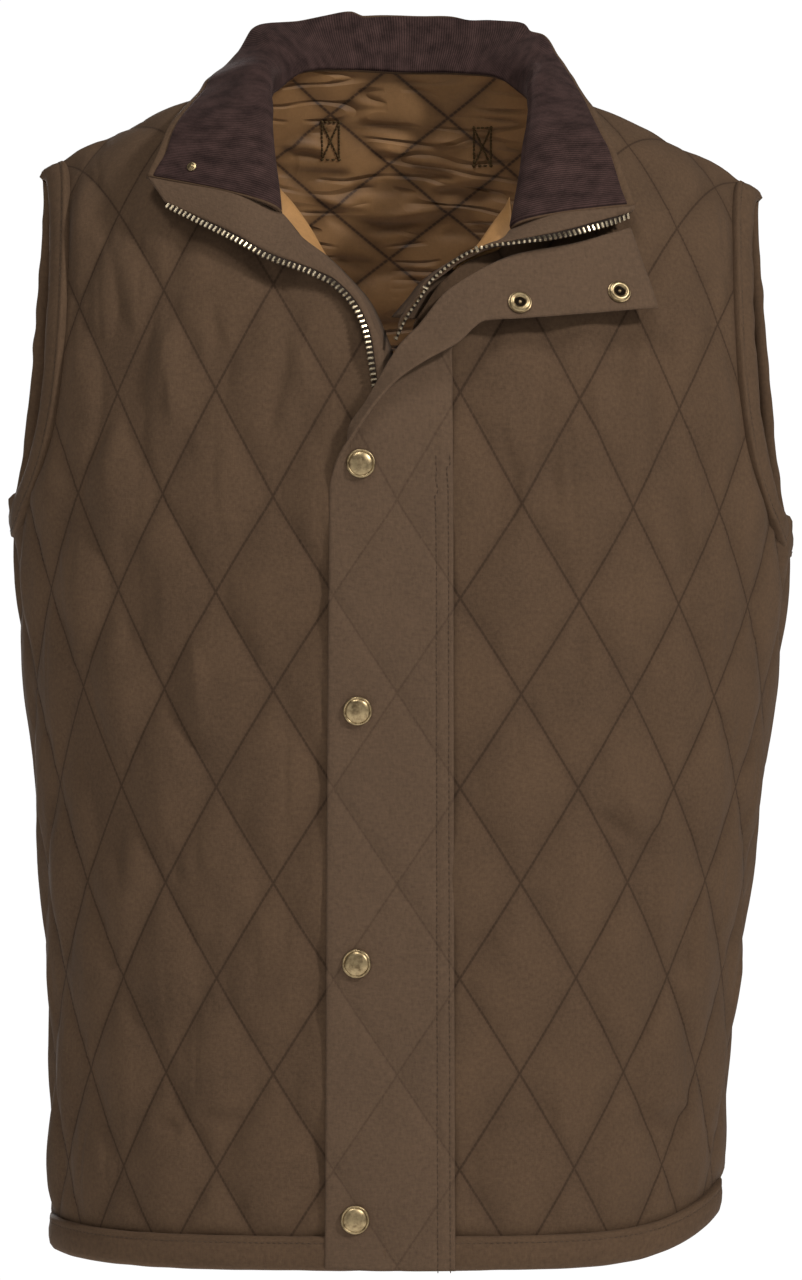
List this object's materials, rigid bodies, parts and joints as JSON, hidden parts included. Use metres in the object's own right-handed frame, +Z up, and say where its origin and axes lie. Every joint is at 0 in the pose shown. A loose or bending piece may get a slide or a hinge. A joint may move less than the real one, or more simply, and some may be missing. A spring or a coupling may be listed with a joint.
{
  "type": "quilted cotton vest",
  "caption": "Sleeveless diamond-quilted cotton vest with a corduroy stand collar worn open, a metal front zip and a snapped storm flap, filled out as if worn.",
  "frame": {"origin": "between the shoulders on the centre plane, at the height where the collar leaves the shoulder seams", "axes": "+Z up along the body, +X to the wearer's left, -Y out of the front"},
  "size_m": [0.469, 0.2828, 0.7517],
  "materials": {
    "shell": "matte woven cotton, quilted",
    "lining": "plain woven cotton, quilted",
    "corduroy": "fine wale corduroy",
    "tape": "woven zip tape",
    "brass": "antique brass"
  },
  "bodies": {
    "root": {"back": "shell", "front_left": "shell", "front_right": "shell", "collar_shell": "shell", "facing_left": "shell", "facing_right": "shell", "storm_flap": "shell", "armhole_band_left": "shell", "armhole_band_right": "shell", "hem_band_back": "shell", "hem_band_left": "shell", "hem_band_right": "shell", "lining_back": "lining", "lining_front_left": "lining", "lining_front_right": "lining", "collar_corduroy": "corduroy", "zip_closed": "tape", "zip_open_left": "tape", "zip_open_right": "tape", "zip_slider": "brass", "snap_cap_1": "brass", "snap_cap_2": "brass", "snap_cap_3": "brass", "snap_cap_4": "brass", "snap_socket_1": "brass", "snap_socket_2": "brass", "snap_stud": "brass"}
  },
  "joints": []
}
